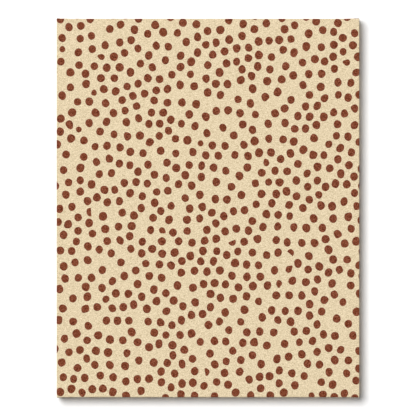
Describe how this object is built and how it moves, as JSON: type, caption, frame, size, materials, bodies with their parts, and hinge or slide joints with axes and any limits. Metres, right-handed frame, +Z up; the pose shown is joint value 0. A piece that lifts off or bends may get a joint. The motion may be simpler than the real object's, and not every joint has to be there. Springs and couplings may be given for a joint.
{
  "type": "stretched canvas print",
  "caption": "Upright stretched canvas print with a spotted all-over pattern, wrapped over a keyed wooden frame with D-ring hangers behind.",
  "frame": {"origin": "under the middle of the lower edge, halfway between the picture and the rearmost point of the hangers", "axes": "+Z up, +X to the right of someone looking at the picture, which faces -Y"},
  "size_m": [0.4064, 0.042, 0.508],
  "materials": {
    "pine": "planed, unfinished",
    "beech": "sanded, unfinished",
    "printed_canvas": "matt primed canvas with brown printed spots on a cream ground",
    "plated_steel": "bright zinc plate",
    "staple_steel": "galvanised wire"
  },
  "bodies": {
    "frame": {"top_rail": "pine", "bottom_rail": "pine", "left_stile": "pine", "right_stile": "pine", "canvas": "printed_canvas", "staples": "staple_steel", "hanger_strap_left": "plated_steel", "hanger_strap_right": "plated_steel", "hanger_screws": "plated_steel"},
    "key_top_left_rail": {"key_top_left_rail": "beech"},
    "key_top_left_stile": {"key_top_left_stile": "beech"},
    "key_top_right_rail": {"key_top_right_rail": "beech"},
    "key_top_right_stile": {"key_top_right_stile": "beech"},
    "key_bottom_left_rail": {"key_bottom_left_rail": "beech"},
    "key_bottom_left_stile": {"key_bottom_left_stile": "beech"},
    "key_bottom_right_rail": {"key_bottom_right_rail": "beech"},
    "key_bottom_right_stile": {"key_bottom_right_stile": "beech"},
    "hanger_ring_left": {"hanger_ring_left": "plated_steel"},
    "hanger_ring_right": {"hanger_ring_right": "plated_steel"}
  },
  "joints": [
    {"name": "key_top_left_rail_slide", "type": "slide", "parent": "frame", "child": "key_top_left_rail", "axis": [0, 0, -1], "range_m": [0, 0.028]},
    {"name": "key_top_left_stile_slide", "type": "slide", "parent": "frame", "child": "key_top_left_stile", "axis": [1, 0, 0], "range_m": [0, 0.028]},
    {"name": "key_top_right_rail_slide", "type": "slide", "parent": "frame", "child": "key_top_right_rail", "axis": [0, 0, -1], "range_m": [0, 0.028]},
    {"name": "key_top_right_stile_slide", "type": "slide", "parent": "frame", "child": "key_top_right_stile", "axis": [-1, 0, 0], "range_m": [0, 0.028]},
    {"name": "key_bottom_left_rail_slide", "type": "slide", "parent": "frame", "child": "key_bottom_left_rail", "axis": [0, 0, 1], "range_m": [0, 0.028]},
    {"name": "key_bottom_left_stile_slide", "type": "slide", "parent": "frame", "child": "key_bottom_left_stile", "axis": [1, 0, 0], "range_m": [0, 0.028]},
    {"name": "key_bottom_right_rail_slide", "type": "slide", "parent": "frame", "child": "key_bottom_right_rail", "axis": [0, 0, 1], "range_m": [0, 0.028]},
    {"name": "key_bottom_right_stile_slide", "type": "slide", "parent": "frame", "child": "key_bottom_right_stile", "axis": [-1, 0, 0], "range_m": [0, 0.028]},
    {"name": "hanger_left_hinge", "type": "hinge", "parent": "frame", "child": "hanger_ring_left", "pos_m": [-0.1742, 0.01898, 0.378], "axis": [1, 0, 0], "range_deg": [0, 175.5]},
    {"name": "hanger_right_hinge", "type": "hinge", "parent": "frame", "child": "hanger_ring_right", "pos_m": [0.1742, 0.01898, 0.378], "axis": [1, 0, 0], "range_deg": [0, 175.5]}
  ]
}
